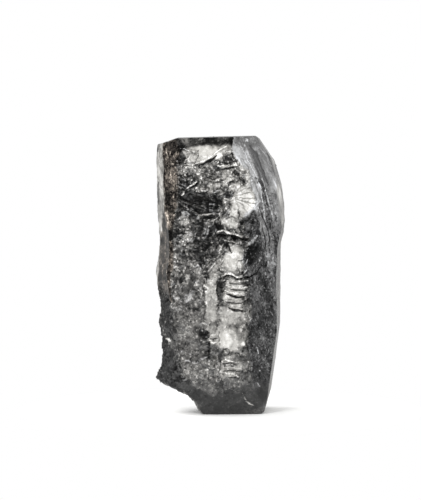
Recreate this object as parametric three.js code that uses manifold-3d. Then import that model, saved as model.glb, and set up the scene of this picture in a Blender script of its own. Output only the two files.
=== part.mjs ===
// A rough black diamond: one broken crystal of grey, heavily included diamond, taller than it is wide, that
// stands on the small flat at its foot.
// Millimetres, +Z up. -Y is the broken, stepped front and +X is the side with the smooth dark face. The
// origin is the middle of the bounding box, at the height of the foot.

import * as THREE from "three";
import { mergeVertices } from "three/addons/utils/BufferGeometryUtils.js";
import Module from "manifold-3d";

const wasm = await Module();
wasm.setup();

// Driving dimensions
const HEIGHT = 9.2; // foot to the highest point of the top
const HALF_WIDTH = 2.15; // middle line to either side at the widest
const FRONT = -1.5; // the broken front, halfway up
const BACK = 1.9; // the back, halfway up
const FOOT_LEFT = -0.6; // where the foot ends under the slanted underside
const FOOT_RIGHT = 1.45;
const FOOT_FRONT = -1.15;
const FOOT_BACK = 1.25;

// Sizes of the cutting slabs and of their relief
const SLAB_WIDE = 7;
const SLAB_TALL = 12.5;
const SLAB_DEEP = 3;
const FINE = 0.125; // the relief's cell on the broken front
const COARSE = 0.24; // the relief's cell on the other uneven faces
const BANK = 14; // how steep the banks between neighbouring flats are
const JITTER = 0.28; // how far a relief point strays from its grid place, as a share of a cell

// A repeatable number from 0 to 1 for a grid place.
function hash(i, j, seed) {
  const s = Math.sin(i * 127.1 + j * 311.7 + seed * 74.7) * 43758.5453;
  return s - Math.floor(s);
}

function smooth(t) {
  return t * t * (3 - 2 * t);
}

// Smooth noise from -1 to 1, one lump per unit.
function noise(x, y, seed) {
  const i = Math.floor(x);
  const j = Math.floor(y);
  const a = smooth(x - i);
  const b = smooth(y - j);
  const low = hash(i, j, seed) * (1 - a) + hash(i + 1, j, seed) * a;
  const high = hash(i, j + 1, seed) * (1 - a) + hash(i + 1, j + 1, seed) * a;
  return 2 * (low * (1 - b) + high * b) - 1;
}

// A number from 0 to 1 that is 0 below low and 1 above high.
function rise(x, low, high) {
  return smooth(Math.min(1, Math.max(0, (x - low) / (high - low))));
}

// Broken glass: tilted flats, each about size across, with a steep little bank between neighbours. The result
// is from about -1 to 1.
function shards(u, v, size, seed) {
  const x = u / size;
  const y = v / size;
  let weight = 0;
  let height = 0;
  for (let i = Math.floor(x) - 1; i <= Math.floor(x) + 1; i++) {
    for (let j = Math.floor(y) - 1; j <= Math.floor(y) + 1; j++) {
      const dx = x - i - hash(i, j, seed);
      const dy = y - j - hash(i, j, seed + 1);
      const share = Math.exp(-BANK * (dx * dx + dy * dy));
      const tiltX = 2 * hash(i, j, seed + 2) - 1;
      const tiltY = 2 * hash(i, j, seed + 3) - 1;
      weight += share;
      height += share * (hash(i, j, seed + 4) - 0.5 + tiltX * dx + tiltY * dy);
    }
  }
  return height / weight;
}

// Two sizes of lump at once, for broken surfaces. size is the larger lump's, in millimetres.
function lumps(u, v, size, seed) {
  return 0.7 * noise(u / size, v / size, seed) + 0.3 * noise((2.3 * u) / size, (2.3 * v) / size, seed + 5);
}

// Turns a smooth height into flats with steep risers between them, each step high.
function steps(height, step) {
  const level = height / step;
  const whole = Math.floor(level);
  const part = level - whole;
  return step * (whole + smooth(Math.min(1, Math.max(0, (part - 0.65) / 0.35))));
}

// How far out a point is in an oval, 0 at its middle and 1 at its edge. wide and tall are its half sizes.
function reach(u, v, { at, wide, tall, turn = 0 }) {
  const c = Math.cos(THREE.MathUtils.degToRad(turn));
  const s = Math.sin(THREE.MathUtils.degToRad(turn));
  const du = u - at[0];
  const dv = v - at[1];
  return Math.hypot((du * c + dv * s) / wide, (dv * c - du * s) / tall);
}

// A soft swelling: 1 at the middle of its oval, 0 outside it.
function swelling(u, v, form) {
  return smooth(Math.max(0, 1 - reach(u, v, form)));
}

// A shell where a flake has come away: a bowl with a crisp rim, 1 at the middle, 0 outside it.
function shell(u, v, form) {
  return Math.max(0, 1 - reach(u, v, form) ** 2);
}

// The relief of some shells and swellings together, outwards. A form's depth or height is its size.
function forms(u, v, list) {
  let proud = 0;
  for (const form of list) {
    proud += form.depth ? -form.depth * shell(u, v, form) : form.height * swelling(u, v, form);
  }
  return proud;
}

// Shells and swellings of the broken front. at is [x, z].
const FRONT_FORMS = [
  { at: [-0.45, 8.42], wide: 1.1, tall: 0.4, height: 0.12 }, // the pale plate under the top edge
  { at: [0.66, 8.12], wide: 0.36, tall: 0.28, depth: 0.2 }, // the curl beside it
  { at: [-0.3, 7.8], wide: 0.42, tall: 0.28, turn: 25, depth: 0.16 }, // crumpled pits
  { at: [0.3, 7.55], wide: 0.34, tall: 0.3, turn: -30, depth: 0.14 },
  { at: [-0.7, 6.98], wide: 0.85, tall: 0.42, turn: -12, depth: 0.26 }, // the dark shell hollow
  { at: [0.95, 7.15], wide: 0.42, tall: 0.48, turn: 20, depth: 0.2 }, // the bright ribbed shell
  { at: [0.4, 6.4], wide: 0.7, tall: 0.75, height: 0.2 }, // the plate over the main ledge
  { at: [-1.2, 6.0], wide: 0.5, tall: 0.4, turn: 30, depth: 0.12 },
  { at: [-0.8, 5.2], wide: 0.42, tall: 0.6, depth: 0.1 },
  { at: [0.6, 5.15], wide: 0.6, tall: 0.75, height: 0.2 }, // the bright plate below the main ledge
  { at: [-0.48, 2.67], wide: 0.15, tall: 0.15, depth: 0.14 }, // the round pit
  { at: [-1.66, 2.33], wide: 0.2, tall: 0.16, depth: 0.08 }, // a small chip at the left edge
  { at: [-1.2, 3.3], wide: 0.8, tall: 1.3, height: 0.1 },
  { at: [0.55, 2.3], wide: 0.6, tall: 2.2, height: 0.2 }, // the low swell that carries the bright band
  { at: [-0.1, 1.9], wide: 0.13, tall: 1.1, depth: 0.1 }, // the upright groove beside it
  { at: [0.9, 0.75], wide: 0.4, tall: 0.3, turn: 30, depth: 0.12 },
];

// Ledges across the bright band: each is [height at its middle, drop below it].
const LEDGES = [
  [8.22, 0.1],
  [5.92, 0.18],
  [5.66, 0.1],
  [4.5, 0.15],
  [4.22, 0.07],
  [3.94, 0.07],
  [3.68, 0.06],
  [1.7, 0.06],
  [1.32, 0.06],
];
const LEDGE_MIDDLE = 0.6; // the band's middle line
const LEDGE_REACH = 0.8; // half the band's width
const LEDGE_BANK = 0.1; // how far down the drop itself takes
const LEDGE_FADE = 0.45; // how far below a drop the surface takes to come back

// The broken front: how far it stands proud of its plane at x = u, z = v + HEIGHT / 2.
function frontRelief(u, v) {
  const z = v + HEIGHT / 2;
  let proud = -0.15 * Math.max(0, -0.35 - u); // the left half falls away towards the left edge
  proud -= 0.1 * Math.max(0, u - 0.9);
  proud += forms(u, z, FRONT_FORMS);
  const band = smooth(Math.max(0, 1 - Math.abs(u - LEDGE_MIDDLE) / LEDGE_REACH));
  for (const [height, drop] of LEDGES) {
    const under = height + 0.12 * noise(u * 2, height, 3) - z;
    proud -= drop * band * rise(under, 0, LEDGE_BANK) * (1 - rise(under, LEDGE_BANK, LEDGE_FADE));
  }
  const upper = rise(z, 5.8, 7.2); // the upper third is the most broken
  proud += (0.09 + 0.07 * upper) * shards(u, z, 0.85, 14);
  return proud + (0.03 + 0.05 * upper) * shards(u, z, 0.38, 17);
}

// The back: a stepped break with two wide shells in it. v is up from halfway, here and below.
const BACK_FORMS = [
  { at: [0.3, 2.1], wide: 1.3, tall: 1.0, turn: 20, depth: 0.16 },
  { at: [-0.2, -2.0], wide: 1.1, tall: 1.3, turn: -30, depth: 0.16 },
  { at: [0.9, -0.4], wide: 0.6, tall: 0.5, depth: 0.1 },
];
function backRelief(u, v) {
  const swell = 0.5 * noise(u / 1.7, v / 2.4, 21) + 0.06 * v;
  return steps(swell, 0.16) * 0.7 - 0.1 + 0.1 * shards(u, v, 0.9, 8) + forms(u, v, BACK_FORMS);
}

// The rear left: wide flats like broken glass.
const REAR_LEFT_FORMS = [
  { at: [0.1, 2.6], wide: 0.9, tall: 0.7, turn: -15, depth: 0.14 },
  { at: [0.3, -0.6], wide: 0.7, tall: 1.2, depth: 0.12 },
];
function rearLeftRelief(u, v) {
  return 0.14 * shards(u, v, 1.15, 31) + 0.03 * shards(u, v, 0.5, 33) + forms(u, v, REAR_LEFT_FORMS);
}

// The rear right: smoother, with three shells.
const REAR_RIGHT_FORMS = [
  { at: [0, 1.7], wide: 0.75, tall: 0.6, turn: 25, depth: 0.12 },
  { at: [-0.2, 0.75], wide: 0.45, tall: 0.35, depth: 0.08 },
  { at: [0.1, -2.3], wide: 0.8, tall: 1.1, turn: 10, depth: 0.12 },
];
function rearRightRelief(u, v) {
  return 0.06 * shards(u, v, 1.4, 51) + forms(u, v, REAR_RIGHT_FORMS);
}

// The left side: smooth above, with shallow shells broken out of it further down.
const LEFT_FORMS = [
  { at: [0, 1.25], wide: 3, tall: 1.3, height: -0.1 },
  { at: [0, 0.05], wide: 3, tall: 0.6, height: 0.06 },
  { at: [0.3, -1.2], wide: 2, tall: 0.45, depth: 0.14 },
  { at: [0.3, -2.5], wide: 2, tall: 0.95, depth: 0.27 },
];
function leftRelief(u, v) {
  return 0.02 * lumps(u, v, 0.4, 37) - 0.035 * (1 - rise(v, 0.4, 1.2)) + forms(u, v, LEFT_FORMS);
}

// The right side: the shoulder above stands a little proud of the side below it.
function rightRelief(u, v) {
  return -0.16 * (1 - rise(v, 0.85, 1.7)) + 0.02 * noise(u, v / 1.3, 39) + 0.012 * lumps(u, v, 0.4, 33);
}

// The slanted underside: shallow lumps, and a swelling at either end. The lower one widens the foot.
function underRelief(u, v) {
  return 0.05 * lumps(u, v, 0.6, 41) - 0.12 + 0.27 * (1 - rise(v, -0.5, 0.15)) + 0.16 * rise(v, 0.6, 1.3);
}

// The crystal's faces. at is a point on the face, turn is the way it looks about Z (0 is the front, 90 the
// right), and lean is how far it looks up, in degrees.
const FACES = [
  { at: [0, FRONT, HEIGHT / 2], cell: FINE, relief: frontRelief },
  { at: [-HALF_WIDTH, -0.25, 4.6], turn: -68, lean: -0.5, cell: COARSE, relief: leftRelief },
  { at: [-1.87, -0.97, 6.6], turn: -46, lean: 2 }, // the narrow brown bevel beside the front
  { at: [1.45, -1.05, 3], turn: 45, lean: 1 }, // the smooth dark face
  { at: [1.72, -1.05, 5.9], turn: 64, lean: 8 },
  { at: [0.41, -1.5, 8.8], turn: 50, lean: 23 }, // the pale bevel from the top down the right
  { at: [0.88, -0.94, 8.8], turn: 66, lean: 23 }, // the shoulder behind it
  { at: [HALF_WIDTH + 0.03, 1.2, 4.6], turn: 85, lean: 0, cell: COARSE, relief: rightRelief },
  { at: [2.08, 1.2, 3.3], turn: 86, lean: -7.7 }, // the right side draws in to the foot
  { at: [2.09, 0.8, 7.1], turn: 80, lean: 9 }, // the shoulder's rear, in four facets up to the top
  { at: [1.88, 0.6, 7.9], turn: 82, lean: 19 },
  { at: [1.55, 0.4, 8.67], turn: 85, lean: 32 },
  { at: [1.44, 0.3, 9.03], turn: 90, lean: 56 },
  { at: [0.7, 0, HEIGHT], turn: -90, lean: 88.8 }, // the top falls a little to the left
  { at: [-1.5, 0, 9.13], turn: -90, lean: 71 },
  { at: [0, -1.5, 8.84], turn: -5, lean: 42 }, // the dark bevel along its front edge
  { at: [1.88, 1.6, 4.6], turn: 119, lean: 1, cell: COARSE, relief: rearRightRelief },
  { at: [0.7, BACK, 4.6], turn: -171, lean: 1.5, cell: COARSE, relief: backRelief },
  { at: [-1.0, 0.5, 4.6], turn: -145, lean: 2, cell: COARSE, relief: rearLeftRelief },
  { at: [0, 1.35, 8.6], turn: 178, lean: 38 }, // the top's rear edge
  { at: [0.3, FOOT_BACK, 0], turn: 170, lean: -20 },
  { at: [0.3, FOOT_FRONT, 0], turn: 5, lean: -22 },
  { at: [FOOT_LEFT - 0.33, 0, 0.38], turn: -90, lean: -57, cell: COARSE, relief: underRelief },
  { at: [FOOT_RIGHT, 0, 0], turn: 88, lean: -20 },
];

// A chip out of the front edge of the underside.
const CHIP = { at: [-1.35, -1.5, 0.3], radius: 0.4 };

function degrees(x) {
  return THREE.MathUtils.degToRad(x);
}

// A closed geometry as a solid.
function solid(geometry) {
  const bare = geometry.clone();
  bare.deleteAttribute("normal");
  bare.deleteAttribute("uv");
  const merged = mergeVertices(bare, 1e-5);
  return new wasm.Manifold(
    new wasm.Mesh({
      numProp: 3,
      vertProperties: merged.attributes.position.array,
      triVerts: new Uint32Array(merged.index.array),
    }),
  );
}

// A slab that lies on a face, with the face's relief pressed into its underside. Cutting it away leaves the
// face.
function slab({ at, turn = 0, lean = 0, cell = 0, relief = null }) {
  const across = cell ? Math.round(SLAB_WIDE / cell) : 1;
  const up = cell ? Math.round(SLAB_TALL / cell) : 1;
  const geometry = new THREE.BoxGeometry(SLAB_WIDE, SLAB_TALL, SLAB_DEEP, across, up, 1);
  geometry.translate(0, 0, SLAB_DEEP / 2);
  if (relief) {
    const p = geometry.attributes.position;
    for (let n = 0; n < p.count; n++) {
      const i = Math.round((p.getX(n) / SLAB_WIDE + 0.5) * across);
      const j = Math.round((p.getY(n) / SLAB_TALL + 0.5) * up);
      const inside = i > 0 && i < across && j > 0 && j < up;
      if (p.getZ(n) < SLAB_DEEP / 2) {
        const u = p.getX(n) + (inside ? cell * JITTER * (2 * hash(i, j, 1) - 1) : 0);
        const v = p.getY(n) + (inside ? cell * JITTER * (2 * hash(j, i, 9) - 1) : 0);
        p.setXYZ(n, u, v, relief(u, v));
      }
    }
  }
  const outward = new THREE.Vector3(
    Math.sin(degrees(turn)) * Math.cos(degrees(lean)),
    -Math.cos(degrees(turn)) * Math.cos(degrees(lean)),
    Math.sin(degrees(lean)),
  );
  const sideways = new THREE.Vector3(Math.cos(degrees(turn)), Math.sin(degrees(turn)), 0);
  const upward = new THREE.Vector3().crossVectors(outward, sideways);
  const place = new THREE.Matrix4().makeBasis(sideways, upward, outward).setPosition(...at);
  return solid(geometry.applyMatrix4(place));
}

function chip({ at, radius }) {
  const geometry = new THREE.IcosahedronGeometry(radius, 2);
  geometry.rotateX(0.3);
  geometry.translate(...at);
  return solid(geometry);
}

// The stone: a block with a slab cut away for each face, and then the chip.
function stone() {
  const block = new THREE.BoxGeometry(2 * HALF_WIDTH + 0.4, 5, HEIGHT + 0.1);
  block.translate(0, 0, (HEIGHT + 0.1) / 2);
  let made = solid(block);
  for (const face of FACES) {
    made = made.subtract(slab(face));
  }
  return made.subtract(chip(CHIP));
}

// The solid's mesh, moved so that the origin is under the middle of its bounding box.
function geometryOf(made) {
  const mesh = made.getMesh();
  const points = new Float32Array(mesh.numVert * 3);
  for (let n = 0; n < mesh.numVert; n++) {
    points.set(mesh.vertProperties.subarray(n * mesh.numProp, n * mesh.numProp + 3), n * 3);
  }
  const geometry = new THREE.BufferGeometry();
  geometry.setAttribute("position", new THREE.BufferAttribute(points, 3));
  geometry.setIndex(new THREE.BufferAttribute(new Uint32Array(mesh.triVerts), 1));
  geometry.computeBoundingBox();
  const middle = geometry.boundingBox.getCenter(new THREE.Vector3());
  geometry.translate(-middle.x, -middle.y, -geometry.boundingBox.min.z);
  geometry.computeVertexNormals();
  return geometry;
}

const greyDiamond = new THREE.MeshStandardMaterial({ color: 0x4a4a4c, roughness: 0.25, metalness: 0 });
const diamond = new THREE.Mesh(geometryOf(stone()), greyDiamond);
diamond.name = "rough_diamond";

const group = new THREE.Group();
group.add(diamond);

export default group;
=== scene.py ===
"""Looks of a rough black diamond: one broken, heavily included grey crystal that stands on its foot.

The frame holds the solid stone. Its skin is a fine mesh laid over that solid, with the ledges, shells, ribs,
grooves and pits of the broken surfaces, and one glassy material that holds the clouds and the black specks
together with painted highlights, a painted sheen, painted shadow and painted light at the edges.
The skin is worked out in millimetres and turned to metres when it is done.
"""

import math

import bmesh
import bpy
import numpy as np
from bpy.props import FloatProperty, FloatVectorProperty, PointerProperty
from mathutils import Matrix, Vector
from mathutils.bvhtree import BVHTree


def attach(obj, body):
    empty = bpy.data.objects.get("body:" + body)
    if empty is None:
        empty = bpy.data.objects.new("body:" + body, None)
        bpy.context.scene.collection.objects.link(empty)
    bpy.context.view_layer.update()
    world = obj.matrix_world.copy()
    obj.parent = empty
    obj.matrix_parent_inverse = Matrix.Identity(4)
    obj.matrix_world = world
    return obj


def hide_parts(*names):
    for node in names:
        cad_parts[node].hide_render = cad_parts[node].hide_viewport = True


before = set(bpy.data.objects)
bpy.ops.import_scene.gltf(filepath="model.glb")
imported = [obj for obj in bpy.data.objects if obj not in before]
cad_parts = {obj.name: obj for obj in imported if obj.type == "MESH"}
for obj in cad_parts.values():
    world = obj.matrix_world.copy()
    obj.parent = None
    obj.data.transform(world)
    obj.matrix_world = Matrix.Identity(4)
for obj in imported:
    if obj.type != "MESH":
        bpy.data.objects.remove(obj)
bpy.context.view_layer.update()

bl_info = {
    "name": "Rough Black Diamond",
    "version": (1, 0, 0),
    "blender": (4, 5, 0),
    "location": "View3D > Sidebar > Rough Diamond",
    "description": "Dresses a solid rough diamond with its broken skin and sets a plain stage round it",
    "category": "Object",
}

MM = 0.001
SOLID = "rough_diamond"
BODY = "root"
WELD = 1e-4  # points of the solid nearer to each other than this in millimetres are one
FORWARD = -0.35  # a cell looks forwards when its normal's Y is below this
FOOT_ROUND = 0.5  # the foot's edges are rounded below this height in millimetres
SMOOTHINGS = 14  # and smoothed this many times
SHARP_EDGE = math.radians(38)  # an edge that bends more than this is shown sharp
SAME_FACE = math.cos(math.radians(0.8))  # a face of the solid turned less than this is the smooth face itself
PLANE_NEAR = 0.02  # a place this near a smooth face's plane in millimetres lies on it
PLANE_FAR = 0.05  # and one this far from it doesn't
WIDE_TURN = math.cos(math.radians(50))  # a place turned further than this from a smooth face isn't on it
NARROW_TURN = math.cos(math.radians(25))  # a place turned less than this is
LIKENESS_FALL = 150  # how fast a face's share falls as a place turns away from it

# Heights in millimetres between which one zone gives way to another.
UPPER_LEFT = (3.7, 4.9)
UPPER_FRONT = (5.6, 7.0)
LOWER_FRONT = (3.6, 4.8)
RUBBED_SPECKS = (0.5, 1.6)
RUBBED_GLOSS = (0.6, 1.4)
LEFT_WAVE = 0.8  # how far the upper left zone's height wanders
# Patterns: the size of their lumps in millimetres and the seed that places them.
PATTERNS = {
    "grain": (0.12, 41), "clouds": (1.1, 51), "ragged": (0.3, 61), "smoke": (0.2, 67),
    "wander": (0.35, 71), "line": (0.12, 73), "bend": (0.2, 75), "fine_bend": (0.07, 76),
    "mottle": (0.16, 81), "cracked": (0.5, 91), "glassy": (1.3, 95), "left": (0.9, 97),
}
# The flats of broken stone, from broad to fine: size, seed, height and what the upper front adds to it, how
# much their own shade counts, how strong their cracks are, and between which two shares of the way from a
# flat's middle to its border a crack comes up. Sizes and heights are in millimetres.
FLATS = [
    (0.42, 11, 0.03, 0.03, 0.4, 1.0, (0.15, 0.45)),
    (0.2, 17, 0.022, 0.026, 0.35, 0.7, (0.2, 0.48)),
    (0.09, 23, 0.012, 0.0, 0.25, 0.0, (0.2, 0.48)),
]
BANK = 40  # how steep the banks between flats are
GRAIN_HEIGHT = 0.005  # in millimetres
# How much each zone weakens the relief, and how much the lower left side of what is seen strengthens it.
EASED = {"smooth": 1.0, "side": 0.7, "left_top": 0.8, "glassy": 0.75, "calm": 1.0}
LEFT_LOW_ADDED = 1.2

# The view that the camera takes, and in whose picture the marks below were noted, in pixels.
PICTURE_WIDE = 421
PICTURE_TALL = 500
VIEW_TALL = 16.75  # height of the picture at the stone in millimetres
LENS = 200.0  # focal length in millimetres
SENSOR = 36.0  # the sensor's longer side in millimetres, which stands upright here
VIEW_RISE = math.radians(3)  # how far above the level the camera looks from
VIEW_AIM = Vector((-0.34, 0.0, 5.39))  # what it aims at, in millimetres
PER_PIXEL = VIEW_TALL / PICTURE_TALL  # millimetres to a pixel at the stone
BESIDE = -1.3  # a mark just beside the outline is placed as if the stone went on at this Y, in millimetres

# The crystal's smooth faces: which way each looks, in degrees round from the front towards the right and up,
# how bright it is from 0 to 1, how speckled, and how strongly smoke is drawn across it.
SMOOTH_FACES = {
    "dark_face": (45, 1, 0.4, 0.6, 0.05),
    "side_face": (64, 8, 0.34, 0.4, 0.3),
    "pale_bevel": (50, 23, 0.82, 0.45, 0.22),
    "shoulder": (66, 23, 0.63, 0.3, 0.3),
    "shoulder_low": (80, 9, 0.58, 0.3, 0.3),
    "shoulder_mid": (82, 19, 0.56, 0.3, 0.3),
    "shoulder_high": (85, 32, 0.5, 0.3, 0.3),
    "shoulder_top": (90, 56, 0.4, 0.3, 0.3),
    "lower_side": (86, -7.7, 0.56, 0.3, 0.1),
    "top": (-90, 88.8, 0.28, 0.5, 0.2),
    "top_left": (-90, 71, 0.34, 0.5, 0.2),
    "top_bevel": (-5, 42, 0.23, 0.4, 0.15),
    "brown_bevel": (-46, 2, 0.27, 1.0, 0.1),
    "top_rear": (178, 38, 0.3, 0.5, 0.2),
    "foot": (0, -90, 0.2, 0.5, 0.0),
}
COOL_FACES = ("dark_face", "side_face", "shoulder", "pale_bevel")

# Clouds and smoke on the side that looks forwards, with a painted sheen on the foot and painted highlights
# along the right edge, laid on in this order: the pixel across and down, half width and half height in
# pixels, turn in degrees, brightness and strength.
PATCHES = [
    (180, 304, 26, 64, 0, 0.46, 0.9),  # the mottled lower left
    (186, 362, 34, 30, 0, 0.49, 0.85),
    (163, 335, 13, 52, 0, 0.16, 0.95),  # the dim left edge
    (232, 402, 42, 15, -12, 0.07, 0.95),  # the smooth dark foot
    (240, 399, 17, 4, -24, 0.26, 0.7),  # its soft sheen
    (176, 382, 22, 9, 24, 0.06, 0.95),  # the dark rim over the underside
    (200, 397, 20, 8, 28, 0.08, 0.95),
    (195, 240, 25, 24, 0, 0.32, 0.95),  # the dark speckled zone
    (207, 172, 34, 24, 0, 0.57, 0.8),  # the crumpled upper middle
    (203, 154, 26, 8.5, -4, 0.83, 0.95),  # the pale plate under the top bevel
    (226, 150, 8, 6, 0, 0.74, 0.8),
    (180, 160, 6, 9, -20, 0.2, 0.85),  # a dark blotch beside it
    (229, 158.5, 5.5, 3.5, 10, 0.25, 0.85),
    (217.5, 168, 5, 3, 30, 0.12, 0.9),
    (214, 185, 9, 4, -6, 0.72, 0.8),  # a pale flake
    (228, 176, 9, 4, 0, 0.7, 0.6),
    (206, 176, 5, 4, 0, 0.62, 0.6),
    (229.5, 194.5, 6, 3.6, 0, 0.1, 0.95),  # a dark hole
    (231, 184, 5, 3, 0, 0.3, 0.8),
    (197, 206, 25, 15, 12, 0.19, 1.0),  # the dark shell
    (212, 204, 8, 8.5, 0, 0.12, 0.9),
    (246, 200, 17, 16, 0, 0.94, 1.0),  # the bright ribbed shell
    (239, 211, 12, 8, -20, 0.84, 0.9),
    (219, 181, 11, 6, -10, 0.74, 0.8),
    (236, 187, 8, 5, -20, 0.84, 0.85),
    (222, 173, 7, 3.5, -8, 0.72, 0.8),
    (196, 183, 8, 4, -30, 0.16, 0.85),
    (256.5, 215, 6.5, 6, 30, 0.22, 0.85),  # the dark break under it
    (232, 222, 10, 9.5, 0, 0.78, 0.95),  # the plate over the main ledge
    (187, 240, 6, 16, -12, 0.5, 0.6),  # a cluster of bright specks
    (206, 238, 10, 14, 0, 0.12, 0.85),
    (178, 234, 5, 10, 0, 0.08, 0.8),
    (214, 227, 7, 5, -20, 0.12, 0.8),
    (201, 258, 9, 7, 20, 0.16, 0.7),
    (251, 241, 3, 8, 42, 0.6, 0.6),
    (227, 266, 12, 10, 0, 0.7, 0.85),  # the bright plate under the ledge
    (234, 258, 11, 15.5, 0, 0.79, 1.0),
    (229, 262, 5, 8, 0, 0.82, 0.8),
    (225.5, 245.5, 2.6, 3.2, 0, 0.14, 0.9),
    (253, 254, 8, 13, 8, 0.2, 0.9),  # a smooth dark oval
    (212, 298, 7, 38, 4, 0.74, 0.95),  # the pale column
    (220.3, 288, 3.2, 12, 0, 0.28, 0.85),  # the notch beside it
    (235, 292, 11, 16, 0, 0.82, 0.9),  # the rippled band
    (230, 316, 15, 13, 0, 0.76, 0.85),
    (227, 339, 18, 14, 0, 0.82, 0.9),
    (227, 341, 5, 7, 0, 0.9, 0.8),  # the brightest patch
    (214, 337, 4.5, 10, 0, 0.72, 0.8),
    (230, 366, 15, 12, 0, 0.7, 0.85),
    (213, 364, 6, 18, 0, 0.5, 0.7),
    (242, 328, 6, 16, 0, 0.66, 0.85),
    (188, 330, 6, 8, 0, 0.56, 0.7),
    (196, 362, 10, 10, 0, 0.46, 0.6),
    (168, 370, 14, 18, 10, 0.03, 0.95),  # the darkest corner
    (202.5, 333, 4.4, 4.4, 0, 0.2, 0.9),  # the round pit
    (208, 349, 2.6, 9, 0, 0.22, 0.8),
    (220, 386, 5, 4, 0, 0.18, 0.8),
    (213, 393, 5, 4, 0, 0.5, 0.6),
    (169.4, 340, 3.3, 2.8, 10, 1.0, 1.0),  # a white chip at the left edge
    (169.8, 343.7, 1.4, 1.1, 0, 1.0, 1.0),
    (225.5, 352.5, 2.4, 2, 0, 0.5, 1.0),  # the eye of the small round lens
    (241, 330, 1.6, 2.6, 10, 0.9, 0.9),  # white spots at the band's right side
    (243, 344, 1.6, 2.4, 0, 0.95, 0.9),
    (218, 156, 5, 2.6, -12, 0.97, 0.95),
    (192, 152, 7, 3.4, 5, 0.62, 0.6),
    (238, 150, 5, 5, 0, 0.85, 0.6),  # smudges on the pale bevel
    (249, 165, 4, 6, -30, 0.56, 0.6),
    (256, 190, 3, 8, -15, 0.66, 0.6),
    (250, 141, 15, 7, 16, 0.46, 0.9),  # dark smoke in the shoulder
    (265, 160, 8, 20, -28, 0.54, 0.75),
    (274, 169, 2.6, 7, -25, 0.34, 0.6),
    (267, 183, 3.5, 10, -25, 0.36, 0.6),
    (277.5, 205, 3, 18, 0, 0.68, 0.7),  # the shoulder's pale rim, a painted highlight along the right edge
    (250, 178, 7, 27, -20, 0.76, 0.9),  # the pale band down the right
    (262, 216, 6, 26, -11, 0.7, 0.85),
    # these two rows along the right edge are the pale band and also painted highlights on that edge
    (270, 252, 5, 28, -6, 0.66, 0.85),
    (276, 292, 3.5, 30, -3, 0.54, 0.65),
    (270, 204, 5, 22, -12, 0.6, 0.7),  # smoke down the right side
    (276, 214, 5, 28, -5, 0.68, 0.75),
    (256, 226, 4, 12, -12, 0.26, 0.7),
]
BEND, FINE_BEND = 0.03, 0.012  # how far in millimetres the marks wander from their places
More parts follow.
